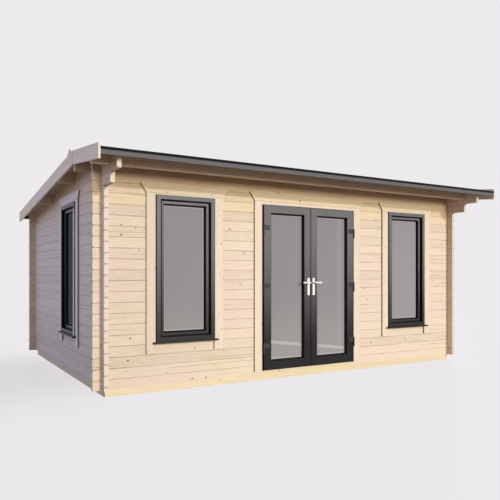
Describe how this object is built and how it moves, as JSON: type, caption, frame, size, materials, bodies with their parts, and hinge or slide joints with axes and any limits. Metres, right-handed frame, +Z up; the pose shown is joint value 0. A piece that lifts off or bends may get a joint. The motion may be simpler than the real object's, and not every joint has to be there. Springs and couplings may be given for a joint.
{
  "type": "garden office log cabin",
  "caption": "Garden office of interlocking logs with a lopsided apex roof, stepped corbels, tall windows and glazed double doors that open outwards.",
  "frame": {"origin": "on the ground under the middle of the roof's plan", "axes": "+Z up, -Y out of the front with the doors, +X to the right seen from the front"},
  "size_m": [5.486, 4.325, 2.553],
  "materials": {
    "timber": "planed softwood, satin",
    "treated_timber": "pressure treated softwood, matt",
    "floor_boards": "planed softwood boards",
    "frame_plastic": "anthracite plastic profile, satin",
    "glazing": "double glazed sealed unit",
    "white_metal": "white painted metal",
    "hinge_metal": "anthracite painted metal",
    "roof_felt": "mineral felt, matt",
    "sill_metal": "black painted metal",
    "fascia_paint": "weathered grey timber"
  },
  "bodies": {
    "building": {"front_bearer": "treated_timber", "back_bearer": "treated_timber", "floor_bearers": "treated_timber", "floor": "floor_boards", "front_wall_left": "timber", "front_wall_right": "timber", "front_wall_top": "timber", "back_wall": "timber", "left_wall": "timber", "right_wall": "timber", "left_gable": "timber", "right_gable": "timber", "front_purlin": "timber", "ridge_purlin": "timber", "middle_purlin": "timber", "rear_purlin": "timber", "roof_deck_front": "timber", "roof_deck_rear": "timber", "front_fascia": "fascia_paint", "rear_fascia": "fascia_paint", "roof_felt_front": "roof_felt", "roof_felt_rear": "roof_felt", "bargeboard_front_left": "timber", "bargeboard_front_right": "timber", "bargeboard_rear_left": "timber", "bargeboard_rear_right": "timber", "window_frames": "frame_plastic", "window_sashes": "frame_plastic", "window_glass": "glazing", "window_sills": "sill_metal", "window_trims": "timber", "door_threshold": "treated_timber", "door_frame": "frame_plastic", "door_trim": "timber", "frame_hinges": "hinge_metal"},
    "left_door": {"door_leaf_left": "frame_plastic", "door_glass_left": "glazing", "handle_plates_left": "white_metal", "leaf_hinges_left": "hinge_metal"},
    "right_door": {"door_leaf_right": "frame_plastic", "door_glass_right": "glazing", "handle_plates_right": "white_metal", "leaf_hinges_right": "hinge_metal"},
    "left_handle": {"lever_left": "white_metal"},
    "right_handle": {"lever_right": "white_metal"}
  },
  "joints": [
    {"name": "left_door_hinge", "type": "hinge", "parent": "building", "child": "left_door", "pos_m": [-0.654, -1.5935, 1.07], "axis": [0, 0, -1], "range_deg": [0, 90]},
    {"name": "right_door_hinge", "type": "hinge", "parent": "building", "child": "right_door", "pos_m": [0.703, -1.5935, 1.07], "axis": [0, 0, 1], "range_deg": [0, 90]},
    {"name": "left_handle_turn", "type": "hinge", "parent": "left_door", "child": "left_handle", "pos_m": [-0.0135, -1.5495, 1.13], "axis": [0, -1, 0], "range_deg": [0, 35], "stiffness_Nm_per_rad": 1.5},
    {"name": "right_handle_turn", "type": "hinge", "parent": "right_door", "child": "right_handle", "pos_m": [0.0625, -1.5495, 1.13], "axis": [0, 1, 0], "range_deg": [0, 35], "stiffness_Nm_per_rad": 1.5}
  ]
}
